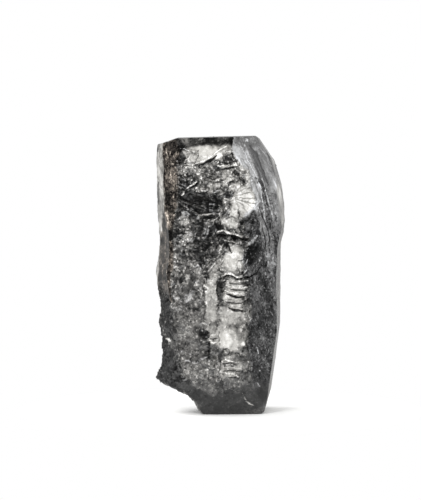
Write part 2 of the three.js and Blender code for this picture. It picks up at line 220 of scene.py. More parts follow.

# Lips and cracks on that side, with some painted highlights and painted shadow among them, as marked: half
# width in pixels, height above the surface in millimetres, brightness, and how many pixels across and down
# each place is that it passes.
STROKES = [
    # the lit lip along the pale plate's lower edge, painted as a highlight, and under it a painted shadow
    (0.9, 0.03, 1.0, 184.7, 164.4, 192, 165, 198.6, 163, 205, 160.5, 210.7, 157.3, 217.7, 151.2, 225.5, 147),
    (1.3, -0.06, 0.12, 199, 166, 207, 162.6, 213, 159, 216, 155.5),
    (0.6, -0.03, 0.25, 187.3, 153.5, 188, 159),
    (0.5, -0.02, 0.35, 197.7, 150, 199, 155, 196, 160),
    (0.6, 0.02, 1.0, 186, 160, 190, 157, 188, 161),
    (1.1, 0.05, 1.0, 218, 165, 224, 166, 230, 165.3, 236.5, 164),
    (0.8, -0.04, 0.2, 219, 163, 226, 163.2, 233, 161.8, 237, 160.5),
    (1.0, -0.05, 0.12, 222, 168.4, 230, 168.8, 238, 166.5),
    (0.8, 0.02, 0.9, 223, 153.5, 229, 151.5, 232, 153),
    (0.7, -0.03, 0.2, 232, 155, 235.5, 160),
    (0.7, 0.03, 0.9, 210, 180.5, 217, 179.5, 226, 177.2),
    (0.6, -0.03, 0.25, 209, 182.3, 217, 181.5, 226, 179.4),
    (0.6, -0.02, 0.3, 207, 178, 213, 178.8, 220, 176.5),
    (0.8, 0.02, 0.95, 236, 170.5, 240.5, 172.5, 241, 176.5),
    (0.6, -0.03, 0.2, 233, 178, 238, 176.5, 242, 179.5),
    (1.3, 0.04, 1.0, 187, 188.4, 191.5, 185.3, 196.6, 181.8),
    (0.6, -0.04, 0.08, 185.5, 189.6, 190, 188.6, 195, 185.5, 198.4, 182),
    (0.9, 0.03, 0.95, 181, 195, 184.6, 193.2),
    (0.5, 0.02, 0.7, 171.7, 161.6, 177, 169, 184.7, 179.8),
    (0.5, 0.02, 0.65, 174, 157, 178, 165, 182, 172),
    (0.7, 0.02, 0.8, 184, 173, 186, 176.5, 185, 180.5),
    (0.6, 0.02, 0.85, 166.5, 151.5, 168, 155.5),
    (0.5, 0.02, 0.8, 171.5, 151, 170.5, 155),
    (0.7, 0.03, 0.9, 226, 189.5, 231, 186, 236, 184),
    (0.9, 0.02, 0.85, 224.5, 198.5, 230, 199.5, 237, 199),
    (0.8, 0.04, 0.5, 178.6, 199.8, 190, 204.5, 205.5, 211),
    (0.7, 0.04, 0.55, 178.6, 201.5, 188, 208, 198.6, 216.3, 210.7, 220.6),
    (0.6, 0.03, 0.45, 182, 200, 195, 205, 206, 206),
    (0.7, 0.03, 0.75, 200, 206.5, 204, 206, 206, 208.5),
    (0.8, 0.04, 0.85, 199.4, 216.6, 206.4, 214.8, 214.2, 214.2),
    (0.7, 0.04, 0.8, 203.8, 219.9, 210.7, 221.7, 216.8, 219, 221, 212.8),
    (0.8, -0.04, 0.1, 201, 218.6, 209, 217.8, 215, 216),
    (0.5, -0.02, 0.66, 234, 196, 244, 194, 254, 191.5),
    (0.5, -0.02, 0.7, 234, 197, 245, 198.5, 256, 199),
    (0.5, -0.02, 0.7, 234, 196, 242, 190, 250, 187),
    (0.6, -0.02, 0.6, 235, 199, 246, 202, 256, 204),
    (0.5, -0.02, 0.7, 235, 200, 243, 206, 248, 212),
    (0.4, -0.02, 0.75, 236, 199.5, 247, 203.5, 254, 208),
    (0.4, -0.02, 0.75, 235, 201, 240, 208, 243, 216),
    (0.4, -0.02, 0.75, 235, 195, 240, 188, 245, 184),
    (0.5, 0.02, 1.0, 237, 197.6, 247, 200.6, 257, 202),
    (0.5, 0.02, 1.0, 237, 194, 246, 189, 253, 189),
    (0.9, 0.03, 1.0, 254, 188, 257, 195, 257.4, 203, 254, 209),
    (0.6, 0.02, 0.9, 229, 208, 231, 213, 229, 218),
    (0.6, -0.03, 0.25, 238, 208, 241, 213, 239, 219),
    (0.6, -0.02, 0.35, 226, 219, 232, 216.5, 238, 219.5),
    (1.2, 0.07, 1.0, 217.5, 231.8, 223.7, 230, 228, 232.6, 234, 233.2, 243, 235.8),
    (1.9, -0.12, 0.26, 218.5, 235.6, 228, 236.2, 238, 237.9, 247, 239.6),
    (0.7, 0.04, 1.0, 225.5, 240.2, 231.5, 241, 236.3, 243.3),
    (0.7, -0.05, 0.1, 223, 242, 230, 242.8, 235.5, 245),
    (0.6, 0.03, 0.95, 219.4, 253.6, 221.5, 248.5, 223.7, 244),
    (0.7, -0.03, 0.15, 227.2, 244.5, 229, 249, 231.5, 253),
    (0.5, 0.02, 0.9, 228.6, 244, 231, 249, 233, 253.5),
    (0.6, -0.03, 0.3, 236, 260, 240, 260.5, 245, 260),
    (0.6, -0.03, 0.3, 243.8, 243, 244.6, 252, 244, 259),
    (0.5, -0.02, 0.4, 237.5, 262, 237, 268, 239, 273),
    (0.6, 0.02, 0.95, 241, 262.5, 241.5, 270),
    (0.7, 0.03, 0.95, 245, 264, 247.3, 259.5),
    (0.7, 0.03, 0.95, 244, 273, 247.2, 269),
    (0.6, 0.02, 0.6, 242.8, 276.2, 249, 274.4, 252.3, 271.8, 257.5, 265.8, 259.3, 260.6),
    (0.7, -0.04, 0.12, 243, 278.4, 250, 277.4, 256, 273.5, 260.5, 267),
    (1.8, 0.03, 0.7, 247, 246, 251, 242, 256.5, 236),
    (0.6, 0.02, 0.62, 257.5, 225, 260, 231, 261.9, 238, 263.6, 249, 264.5, 259.7),
    (0.6, -0.02, 0.15, 262.5, 228, 265.5, 240, 267, 255),
    (1.0, 0.05, 1.0, 222, 275.6, 226.3, 273.2, 231.5, 273.6, 237.6, 276.4, 242, 276.6),
    (1.1, -0.09, 0.12, 224, 277.6, 227.5, 275.8, 232, 276.6, 239, 279, 248.5, 278),
    (1.2, 0.03, 0.9, 227, 279.8, 236, 281, 248, 280.3),
    (0.8, -0.05, 0.3, 230, 283, 237, 284, 246, 283.2),
    (1.2, 0.04, 0.92, 226, 285.5, 236, 287.5, 246.5, 288),
    (0.7, -0.04, 0.35, 229, 288.5, 238, 290.2, 246, 290.5),
    (1.2, 0.04, 0.97, 225, 290.5, 233, 292.5, 244.5, 295),
    (1.1, -0.08, 0.12, 227.5, 293.6, 232, 295.2, 237, 297.2, 244.5, 297.4),
    (0.7, 0.03, 0.7, 226, 299, 235, 300.6, 243.5, 300.4),
    (0.7, -0.04, 0.3, 227, 301.5, 236, 303.2, 243, 302.8),
    (1.0, 0.03, 0.85, 228, 304, 235, 305.6, 243.5, 306),
    (1.0, -0.07, 0.14, 229, 307.8, 235, 310, 243, 311.2),
    (0.9, 0.03, 0.8, 232, 313, 238, 315.6, 243, 316),
    (0.8, -0.04, 0.3, 218, 281, 217.2, 290, 219, 299),
    (0.7, 0.03, 0.85, 216.6, 277, 215.6, 285, 215.4, 293),
    (0.8, 0.03, 0.9, 208.5, 271, 213, 265.5, 216, 262),
    (0.6, 0.02, 0.7, 216, 262, 219.5, 254.5, 221.5, 250),
    (0.7, -0.03, 0.3, 204.6, 279, 202.8, 287, 204.6, 293),
    (0.7, -0.03, 0.32, 203.4, 299, 205.4, 308, 204.2, 318),
    (0.7, 0.03, 0.7, 173.4, 270, 176, 274, 178.6, 278.8),
    (0.7, 0.03, 0.75, 176.9, 283, 178.8, 285.4, 180.4, 288.6),
    (0.9, 0.03, 0.85, 196.8, 288.6, 200, 291, 202, 294.6, 200.6, 298),
    (0.7, 0.02, 0.65, 189, 251.9, 192.5, 257, 196, 263.2),
    (0.6, 0.02, 0.6, 181, 262, 185, 266, 186, 272),
    (0.6, 0.02, 0.6, 183, 306, 188, 311, 190, 318),
    (0.6, 0.02, 0.65, 178, 312, 181, 318, 186, 321),
    (0.5, -0.02, 0.36, 219.6, 327, 218.6, 337, 219.6, 345),
    (0.5, -0.02, 0.3, 219, 354, 220.4, 364, 219.4, 377),
    (0.7, -0.04, 0.2, 209.5, 341, 209, 349, 209.8, 358),
    # the next two rows are painted highlights
    (0.8, 0.03, 1.0, 210.5, 334.5, 213.5, 335.3, 216, 334.2),
    (0.8, 0.03, 1.0, 211, 342.3, 214, 343, 217, 341.8),
    (0.6, -0.03, 0.35, 210, 338.6, 214, 339.4, 217.5, 338.4),
    (0.7, 0.03, 1.0, 203, 329.5, 203.6, 331.6),
    (0.5, 0.02, 0.8, 199, 339.6, 202, 340.6),
    (0.6, -0.03, 0.25, 222, 352.5, 223, 350, 226, 349.2, 228.8, 350.6, 229, 353.4, 226.5, 355.6, 223.4, 355),
    (0.8, 0.03, 0.95, 221.5, 361.5, 226, 359.4, 231, 361.6, 237, 363),
    (0.7, -0.04, 0.25, 222, 364, 229, 363.4, 236, 365.6),
    (0.8, 0.03, 0.85, 222, 368, 230, 367, 238, 369.4, 241, 367.6),
    (0.7, -0.04, 0.28, 224, 371, 231, 370.4, 239, 372),
    (0.8, 0.03, 0.9, 226, 374, 232, 373.2, 238, 376.4),
    (0.6, -0.03, 0.25, 228, 377.6, 235, 377.4, 239, 379),
    (0.6, 0.03, 0.95, 256.2, 346.9, 258.8, 353),
    (0.6, 0.02, 0.9, 259.6, 369.8, 260.4, 370.8),
    (0.6, 0.02, 0.85, 257.5, 382.4, 260, 386),
    (0.5, 0.02, 0.7, 270.2, 328.7, 272.2, 332),
    (0.5, 0.02, 0.7, 270.6, 311, 273, 316),
    (0.7, 0.03, 0.85, 244.5, 396.3, 246.5, 400),
    (0.9, 0.03, 0.95, 246, 401.4, 249.5, 404, 253.2, 405.4),
    (0.5, 0.02, 0.55, 228, 388, 236, 392, 246, 394),
    (0.6, -0.02, 0.12, 163, 360, 166, 371, 172, 380),
    (3.0, 0.0, 0.8, 242, 160, 248, 174, 254, 188, 259, 202),
    (0.6, 0.01, 0.95, 240, 146, 245, 154, 249, 163, 255, 173.5, 258.6, 183, 261, 195, 264, 210, 266, 226),
    (0.5, 0.01, 0.8, 240, 147, 250, 161, 257, 173, 262, 186, 266, 204),
    (1.4, -0.02, 0.28, 249.7, 146, 256.7, 154.7, 261.9, 168, 265, 178, 268.4, 185),
    (1.1, -0.01, 0.35, 255, 163, 259.5, 175, 263.5, 190, 268, 205, 271, 219),
    (0.6, 0.01, 0.85, 262, 178, 266, 190, 270, 206, 273, 222),
    (0.8, -0.01, 0.34, 266, 150, 271, 160, 276, 173),
    (0.6, 0.01, 0.75, 259, 146, 266, 156, 272, 166),
    (0.5, 0.01, 0.6, 257, 207, 262, 218, 266, 232, 268, 248),
    (0.7, -0.01, 0.3, 259, 207, 264, 218, 269, 236, 270, 252),
    (0.5, 0.01, 0.6, 268, 205, 271, 222, 273, 240, 273.5, 258),
    # a painted highlight on the shoulder
    (1.5, 0.01, 0.95, 245.4, 139.4, 247.4, 141.4),
    (0.6, -0.02, 0.25, 157, 147, 157.4, 152),
    (0.5, 0.01, 0.9, 158.4, 152, 160, 170, 160.2, 186, 163.6, 196),
    (0.7, -0.02, 0.4, 158.6, 182, 158, 192, 157.6, 203),
    (0.6, 0.0, 0.5, 161, 196, 162.6, 206, 162, 222),
]
# The left edge: at some pixels down, the right borders of its pale strip and of the brown strip beside it.
# The
# pale strip is painted light: the light that comes through the thin glassy edge, laid on as pale colour.
LEFT_EDGE = [
    (150, 163, 177),
    (175, 164, 178.5),
    (194, 165.3, 177.8),
    (212, 164, 174.5),
    (228, 161, 173),
    (248, 160, 172.5),
    (270, 159.3, 171),
    (285, 158, 168),
    (294, 157, 163),
]
PALE_FADE, BROWN_FADE = 0.03, 0.06  # how far in millimetres each border fades to either side
STRIP_RAGGED, STRIP_END_RAGGED = 0.04, 0.7  # how far in millimetres the borders and their lower end wander
STRIP_END = (-0.1, 0.6)  # how far above the lowest of those places the strips begin and are full

# Where the broken front is calmer than elsewhere: an oval as above, and how much calmer.
CALM = [
    (190, 315, 18, 60, 0, 0.45),
    (197, 206, 22, 13, 12, 0.7),
    (246, 199, 13, 14, 0, 0.85),
    (234, 258, 11, 16, 0, 0.85),
    (203, 154, 25, 7, -4, 0.5),
    (228, 400, 42, 16, 0, 0.2),
    (212, 310, 6, 34, 0, 0.5),
    (230, 330, 18, 26, 0, 0.75),
]
# Ribs that spread from a point: x, z, inner and outer radius, first and last direction in degrees, number of
# ribs, and height. Their sizes, and those of the waves and pits, are in millimetres.
FANS = [
    (0.48, 7.18, 0.12, 0.82, -62, 50, 10, 0.016),
    (-1.36, 7.08, 0.1, 1.5, -42, 4, 6, 0.03),
]
# Level waves across the band: x, z, half width, half height, spacing, height.
RIPPLES = [
    (0.66, 3.75, 0.45, 0.75, 0.23, 0.024),
    (0.45, 1.5, 0.4, 0.4, 0.17, 0.018),
]
# Round pits: x, z, radius, depth.
PITS = [
    (-0.5, 2.68, 0.17, 0.12),
    (0.22, 2.03, 0.1, 0.04),
    (-1.66, 2.38, 0.1, 0.05),
]


# Numbers and patterns

# Large odd numbers that mix a place and a seed into one number.
MIX_X, MIX_Y, MIX_Z, MIX_SEED, MIX_AGAIN = 73856093, 19349663, 83492791, 1640531513, 1274126177


def linear(hex_colour):
    """An sRGB hex value as linear red, green, blue and alpha."""
    channels = [int(hex_colour[k : k + 2], 16) / 255 for k in (1, 3, 5)]
    curved = [c / 12.92 if c <= 0.04045 else ((c + 0.055) / 1.055) ** 2.4 for c in channels]
    return (*curved, 1.0)


def rise(x, low, high):
    """0 below low, 1 above high, and smooth between."""
    t = np.clip((x - low) / (high - low), 0, 1)
    return t * t * (3 - 2 * t)


def grid_number(cells, seed):
    """A repeatable number from 0 to 1 for each whole-number place in space."""
    n = cells[:, 0] * MIX_X ^ cells[:, 1] * MIX_Y ^ cells[:, 2] * MIX_Z ^ seed * MIX_SEED
    n = (n ^ (n >> 13)) * MIX_AGAIN
    return ((n ^ (n >> 16)) & 0xFFFFFF) / 0x1000000


def grid_vector(cells, seed):
    """Three repeatable numbers from 0 to 1 for each whole-number place."""
    return np.stack([grid_number(cells, seed + k) for k in range(3)], axis=1)


def block(low, high):
    """Every whole-number place from low to high along each of three axes."""
    span = np.arange(low, high + 1)
    return np.stack(np.meshgrid(span, span, span), axis=-1).reshape(-1, 3)


def noise(points, size, seed):
    """Soft lumps about size across, from -1 to 1."""
    p = points / size
    cell = np.floor(p).astype(np.int64)
    t = p - cell
    t = t * t * (3 - 2 * t)
    total = np.zeros(len(p))
    for corner in block(0, 1):
        share = np.prod(np.where(corner == 1, t, 1 - t), axis=1)
        total += share * grid_number(cell + corner, seed)
    return 2 * total - 1


def fractal(points, size, seed, octaves):
    """Lumps of several sizes, each half the last, from about -1 to 1."""
    total = np.zeros(len(points))
    for k in range(octaves):
        total += noise(points, size / 2**k, seed + k) / 2**k
    return total / 1.6


def shards(points, size, seed):
    """Tilted flats of broken glass about size across, with steep banks between them: each point's height from
    about -1 to 1, a number from 0 to 1 that its whole flat shares, and how near the flat's border it is."""
    p = points / size
    cell = np.floor(p).astype(np.int64)
    weight = np.zeros(len(p))
    most = np.zeros(len(p))
    height = np.zeros(len(p))
    own = np.zeros(len(p))
    for step in block(-1, 1):
        place = cell + step
        away = p - place - grid_vector(place, seed)
        share = np.exp(-BANK * (away**2).sum(axis=1)) + 1e-30
        tilt = 2 * grid_vector(place, seed + 3) - 1
        weight += share
        most = np.maximum(most, share)
        height += share * ((away * tilt).sum(axis=1) + grid_number(place, seed + 6) - 0.5)
        own += share * grid_number(place, seed + 7)
    return height / weight, own / weight, 1 - most / weight


def reach(x, z, oval):
    """How far out each point is in an oval: 0 at its middle and 1 at its edge."""
    at_x, at_z, wide, tall, turn = oval
    c, s = math.cos(math.radians(turn)), math.sin(math.radians(turn))
    dx, dz = x - at_x, z - at_z
    return np.hypot((dx * c + dz * s) / wide, (dz * c - dx * s) / tall)


def streaks(points):
    """Smoke drawn out down and to the right, from about -1 to 1."""
    right, down = 0.9, 0.44
    across = right * points[:, 0] + down * points[:, 2]
    along = down * points[:, 0] - right * points[:, 2]
    drawn = np.stack([across, 0.5 * points[:, 1], 0.14 * along], axis=1)
    return fractal(drawn, *PATTERNS["smoke"], 4)


# Zones of the skin


def direction(turn, lean):
    """The way a face looks, from its turn round the stone and its lean upwards, in degrees."""
    t, e = math.radians(turn), math.radians(lean)
    return np.array([math.sin(t) * math.cos(e), -math.cos(t) * math.cos(e), math.sin(e)])


def plane_of(solid_mesh, face):
    """How far out from the middle of the frame a smooth face's plane lies."""
    out = direction(*SMOOTH_FACES[face][:2])
    total = 0.0
    distance = 0.0
    for polygon in solid_mesh.polygons:
        if polygon.normal.dot(Vector(out)) > SAME_FACE:
            total += polygon.area
            distance += polygon.area * polygon.center.dot(Vector(out))
    if not total:
        raise RuntimeError(f"the solid has no face {face}")
    return distance / total


def smooth_shares(points, normals, solid_mesh):
    """How much each place of the skin belongs to any smooth face, from 0 to 1, and to each of them. It does
    when it lies on the face's plane and looks roughly its way, so edges between two of them stay smooth."""
    smooth = np.zeros(len(points))
    likeness = {}
    for name, (turn, lean, *_) in SMOOTH_FACES.items():
        out = direction(turn, lean)
        facing = normals @ out
        off = np.abs(points @ out - plane_of(solid_mesh, name))
        on_plane = 1 - rise(off, PLANE_NEAR, PLANE_FAR)
        smooth = np.maximum(smooth, on_plane * rise(facing, WIDE_TURN, NARROW_TURN))
        likeness[name] = on_plane * np.exp(LIKENESS_FALL * (facing - 1))
    total = sum(likeness.values()) + 1e-20
    return smooth, {name: smooth * value / total for name, value in likeness.items()}


def zones_of(points, normals, smooth, tree):
    """How much each place of the skin belongs to each zone, from 0 to 1."""
    x, z = points[:, 0], points[:, 2]
    seen = rise(-normals[:, 1], 0.05, 0.2)
    upper_left = rise(z + LEFT_WAVE * fractal(points, *PATTERNS["left"], 3), *UPPER_LEFT)
    calm = np.zeros(len(points))
    for oval, (strength,) in stone_ovals(CALM, tree):
        calm = np.maximum(calm, strength * (1 - rise(reach(x, z, oval), 0.7, 1.1)))
    return {
        "smooth": smooth,
        "seen": seen,
        "calm": seen * calm,
        "front": rise(-normals[:, 1], 0.45, 0.75) * (1 - smooth),
        "side": rise(normals[:, 0], 0.85, 0.95) * (1 - smooth),
        "left_top": rise(-normals[:, 0], 0.75, 0.88) * upper_left,
        "left_low": rise(-normals[:, 0], 0.5, 0.8) * (1 - upper_left),
        "glassy": (1 - seen) * rise(noise(points, *PATTERNS["glassy"]), -0.25, 0.45),
    }


def left_strips(x, z, tree):
    """How much each place is in the pale strip at the left edge, which is painted light coming through the
    thin glassy edge, and in the brown strip beside it.
    """
    heights, pale, brown = zip(*stone_borders(LEFT_EDGE, tree))
    pale_edge = np.interp(z, heights, pale)
    brown_edge = np.interp(z, heights, brown)
    in_pale = 1 - rise(x, pale_edge - PALE_FADE, pale_edge + PALE_FADE)
    in_brown = (1 - rise(x, brown_edge - BROWN_FADE, brown_edge + BROWN_FADE)) * (1 - in_pale)
    above = rise(z - heights[0], *STRIP_END)
    return in_pale * above, in_brown * above


# The skin's relief


def fans(x, z):
    """The ribs that spread from a point."""
    proud = np.zeros(len(x))
    for at_x, at_z, inner, outer, first, last, ribs, height in FANS:
        far = np.hypot(x - at_x, z - at_z)
        share = (np.degrees(np.arctan2(z - at_z, x - at_x)) - first) / (last - first)
        inside = rise(share, 0, 0.12) * rise(1 - share, 0, 0.12)
        inside *= rise(far, 0, inner) * (1 - rise(far, 0.85 * outer, outer))
        proud += height * inside * (np.abs(np.sin(math.pi * ribs * share)) - 0.5)
    return proud


def ripples(x, z, wander):
    """The level waves, bent a little by wander."""
    proud = np.zeros(len(x))
    for at_x, at_z, wide, tall, spacing, height in RIPPLES:
        inside = 1 - rise(reach(x, z, (at_x, at_z, wide, tall, 0)), 0.75, 1.1)
        phase = (z + 0.05 * wander + 0.1 * (x - at_x)) / spacing
        tooth = phase - np.floor(phase)
        proud += height * inside * (rise(tooth, 0, 0.25) - tooth)
    return proud


def pits(x, z):
    """The round pits, each with a small rim."""
    proud = np.zeros(len(x))
    for at_x, at_z, radius, depth in PITS:
        far = np.hypot(x - at_x, z - at_z) / radius
        rim = rise(far, 0.7, 1) * (1 - rise(far, 1, 1.4))
        proud -= depth * (1 - rise(far, 0.55, 1)) - 0.25 * depth * rim
    return proud


def relief_of(points, rough, front):
    """How far the skin stands out from the solid in millimetres, the shade from 0 to 1 that each flat has of
    its own, and how near each place is to a crack between flats."""
    x, z = points[:, 0], points[:, 2]
    proud = np.zeros(len(points))
    shade = np.zeros(len(points))
    border = np.zeros(len(points))
    for size, seed, height, added, counts, crack, begins_and_full in FLATS:
        tilted, own, near = shards(points, size, seed)
        proud += rough * (height + added * rise(z, *UPPER_FRONT)) * tilted
        shade += counts * own
        border = np.maximum(border, crack * rise(near, *begins_and_full))
    grain = GRAIN_HEIGHT * fractal(points, *PATTERNS["grain"], 3)
    proud += (0.1 + 0.9 * rough) * grain
    proud += front * (fans(x, z) + ripples(x, z, noise(points, *PATTERNS["wander"])) + pits(x, z))
    return proud, shade, border


def near_line(x, z, points):
    """Each place's distance from a line through points, and how far along the line it is, from 0 to 1."""
    best = np.full(len(x), np.inf)
    along = np.zeros(len(x))
    parts = len(points) - 1
    for k, ((ax, az), (bx, bz)) in enumerate(zip(points, points[1:])):
        dx, dz = bx - ax, bz - az
        share = np.clip(((x - ax) * dx + (z - az) * dz) / (dx * dx + dz * dz + 1e-9), 0, 1)
        far = np.hypot(x - ax - share * dx, z - az - share * dz)
        along = np.where(far < best, (k + share) / parts, along)
        best = np.minimum(best, far)
    return best, along


def strokes(points, bend, tree):
    """The lips and cracks: their relief, their brightness, painted highlights and painted shadow among it,
    and how strongly they mark each place.
    """
    x, z = points[:, 0] + bend, points[:, 2] + 0.6 * bend
    wander = noise(points, *PATTERNS["line"])
    proud = np.zeros(len(x))
    tone = np.zeros(len(x))
    strength = np.zeros(len(x))
    for half, height, bright, line in stone_lines(STROKES, tree):
        wide = 2.4 * half
        xs, zs = zip(*line)
        beside = (x > min(xs) - wide) & (x < max(xs) + wide)
        close = beside & (z > min(zs) - wide) & (z < max(zs) + wide)
        far, along = near_line(x[close], z[close], line)
        taper = 0.45 + 0.55 * np.sin(math.pi * np.clip(along, 0.08, 0.92))
        far = far / (half * taper * (1 + 0.35 * wander[close]))
        inside = 1 - rise(far, 0.55, 1.25)
        proud[close] += height * (1 - rise(far, 0.2, 1.6))
        tone[close] = tone[close] * (1 - inside) + bright * inside
        strength[close] = np.maximum(strength[close], inside)
    return proud, tone, strength


# Where the marks lie on the stone


def stone_places(pixels, tree):
    """The x and z in millimetres of what shows of the stone at some pixels of the picture."""
    backward = Vector((0, -math.cos(VIEW_RISE), math.sin(VIEW_RISE)))
    upward = Vector((0, math.sin(VIEW_RISE), math.cos(VIEW_RISE)))
    eye = VIEW_AIM + VIEW_TALL * LENS / SENSOR * backward
    places = []
    for across, down in pixels:
        target = VIEW_AIM + Vector((across - PICTURE_WIDE / 2, 0, 0)) * PER_PIXEL
        target -= upward * (down - PICTURE_TALL / 2) * PER_PIXEL
        way = (target - eye).normalized()
        hit = tree.ray_cast(eye, way)[0] or eye + way * (BESIDE - eye.y) / way.y
        places.append((hit.x, hit.z))
    return places


def stone_ovals(ovals, tree):
    """Ovals noted in pixels as ovals on the stone in millimetres, each with what else was noted of it."""
    places = stone_places([oval[:2] for oval in ovals], tree)
    return [
        ((x, z, wide * PER_PIXEL, tall * PER_PIXEL, -turn), rest)
        for (x, z), (_, _, wide, tall, turn, *rest) in zip(places, ovals)
    ]


def stone_lines(lines, tree):
    """Lines noted in pixels as lines on the stone in millimetres."""
    return [
        (half * PER_PIXEL, height, bright, stone_places(zip(pixels[::2], pixels[1::2]), tree))
        for half, height, bright, *pixels in lines
    ]


def stone_borders(borders, tree):
    """The left edge's borders as a z and two x in millimetres, from the lowest up."""
    rows = []
    for down, pale, brown in borders:
        (pale_x, z), (brown_x, _) = stone_places([(pale, down), (brown, down)], tree)
        rows.append((z, pale_x, brown_x))
    return sorted(rows)


# Meshes


def welded(source):
    """The solid's points and faces in millimetres, with points that lie together made one."""
    form = bmesh.new()
    form.from_mesh(source.data)
    bmesh.ops.scale(form, vec=Vector((1, 1, 1)) / MM, verts=form.verts)
    bmesh.ops.remove_doubles(form, verts=form.verts, dist=WELD)
    mesh = bpy.data.meshes.new("diamond_welded")
    form.to_mesh(mesh)
    form.free()
    return mesh


def even_mesh(mesh, cell):
    """The same form as an even mesh of small cells."""
    work = bpy.data.objects.new("diamond_work", mesh)
    bpy.context.scene.collection.objects.link(work)
    remesh = work.modifiers.new("even cells", "REMESH")
    remesh.mode = "VOXEL"
    remesh.voxel_size = cell
    depsgraph = bpy.context.evaluated_depsgraph_get()
    made = bpy.data.meshes.new_from_object(work.evaluated_get(depsgraph))
    bpy.data.objects.remove(work)
    return made


def rows_of(mesh, name):
    """The mesh's points, named co, or its normals there, as rows of three."""
    flat = np.zeros(len(mesh.vertices) * 3)
    mesh.vertices.foreach_get(name, flat)
    return flat.reshape(-1, 3)





def set_points(mesh, points):
    """Moves the mesh's points."""
    mesh.vertices.foreach_set("co", points.astype(np.float32).ravel())
    mesh.update()


def mark(mesh, name, values):
    """Stores a number for each point, which the material reads by name."""
    attribute = mesh.attributes.new(name, "FLOAT", "POINT")
    attribute.data.foreach_set("value", values.astype(np.float32))


def tree_of(mesh):
    """The mesh as a tree that finds places on it."""
    return BVHTree.FromPolygons([v.co for v in mesh.vertices], [p.vertices for p in mesh.polygons])


def drawn_to(mesh, tree):
    """Moves the mesh's points onto the nearest place of the solid, so that its flats and edges are true."""
    nearest = [tree.find_nearest(Vector(p)) for p in rows_of(mesh, "co")]
    set_points(mesh, np.array([hit[0] for hit in nearest]))


def finer_front(mesh):
    """Halves the cells that look forwards, where the finest relief is."""
    form = bmesh.new()
    form.from_mesh(mesh)
    edges = {edge for face in form.faces if face.normal.y < FORWARD for edge in face.edges}
    bmesh.ops.subdivide_edges(form, edges=list(edges), cuts=1, use_grid_fill=True)
    form.to_mesh(mesh)
    form.free()


def rounded_foot(mesh):
    """Rounds the skin's edges round the foot, as rubbed stone has them, and leaves the foot itself flat."""
    form = bmesh.new()
    form.from_mesh(mesh)
    low = [vert for vert in form.verts if vert.co.z < FOOT_ROUND]
    for _ in range(SMOOTHINGS):
        bmesh.ops.smooth_vert(form, verts=low, factor=0.5, use_axis_x=True, use_axis_y=True, use_axis_z=True)
    form.to_mesh(mesh)
    form.free()


# What the material is told of each place


def patched(x, z, tone, ragged, tree):
    """The brightness after the clouds, the smoke, the painted sheen and the painted highlights are laid on,
    with ragged edges.
    """
    for oval, (bright, strength) in stone_ovals(PATCHES, tree):
        inside = strength * (1 - rise(reach(x, z, oval) + 0.35 * ragged, 0.6, 1.15))
        tone = tone * (1 - inside) + bright * inside
    return tone


def tone_of(points, zones, faces, bend, tree):
    """How bright the stone is at each place before cracks and specks, from 0 to 1 as the eye sees it, painted
    light on the right side, the painted sheen and highlights included, and how much the place is in the pale
    strip of painted light and in the brown strip."""
    x, z = points[:, 0], points[:, 2]
    clouds = fractal(points, *PATTERNS["clouds"], 4)
    ragged = fractal(points, *PATTERNS["ragged"], 4)
    smoke = streaks(points)
    tone = 0.37 + 0.34 * clouds
    # Rough faces that look to the right are painted lighter: painted light on the lit right rim.
    tone += (0.55 + 0.2 * clouds - tone) * zones["side"]
    for name, (_, _, bright, _, smoky) in SMOOTH_FACES.items():
        tone += (bright + 2 * smoky * smoke + 0.09 * ragged - tone) * faces[name]
    tone += (patched(x + bend, z, tone, ragged, tree) - tone) * zones["seen"]
    pale, brown = left_strips(x + STRIP_RAGGED * ragged, z + STRIP_END_RAGGED * ragged, tree)
    pale *= zones["seen"]
    brown *= zones["seen"]
    # The pale strip's colour is painted light coming through the thin left edge.
    tone += (0.68 + 0.3 * ragged + 0.15 * smoke - tone) * pale
    tone += (0.32 + 0.4 * ragged - tone) * brown
    return tone, pale, brown


def speckle_of(z, zones, faces, tone, pale, brown):
    """How strongly the specks show at each place, from 0 to 1."""
    speckle = 1 - zones["smooth"]
    for name, (_, _, _, speckled, _) in SMOOTH_FACES.items():
        speckle += (speckled - speckle) * faces[name]
    speckle *= 1 - 0.6 * zones["glassy"]
    speckle += (0.4 - speckle) * zones["side"]
    speckle += (0.3 - speckle) * pale + (0.75 - speckle) * brown
    speckle *= (1 - 0.65 * rise(tone, 0.55, 0.85)) * (1 - 0.45 * zones["calm"])
    lower = 0.2 * (1 - rise(z, *LOWER_FRONT))
    foot = 0.4 * (1 - rise(z, *RUBBED_SPECKS))
    return speckle * (1 - zones["seen"] * (lower + foot))


def gloss_of(z, zones):
    """How glossy each place is, from 0 to 1."""
    glassier = np.max([zones["smooth"], 0.8 * zones["side"], 0.7 * zones["glassy"]], axis=0)
    rubbed = np.maximum(1 - rise(z, *RUBBED_GLOSS), zones["left_low"])
    return (0.6 + 0.4 * glassier) * (1 - 0.9 * rubbed)


def contrast_of(points, shade, cracks):
    """How much flats, mottling and cracks brighten or darken the stone where it is speckled."""
    strength = 0.38 + 0.5 * rise(points[:, 2], *UPPER_FRONT)
    mottle = 0.25 * fractal(points, *PATTERNS["mottle"], 3)
    cracked = cracks * rise(noise(points, *PATTERNS["cracked"]), -0.3, 0.5)
    return strength * (shade - 0.5) + mottle - 0.25 * cracked


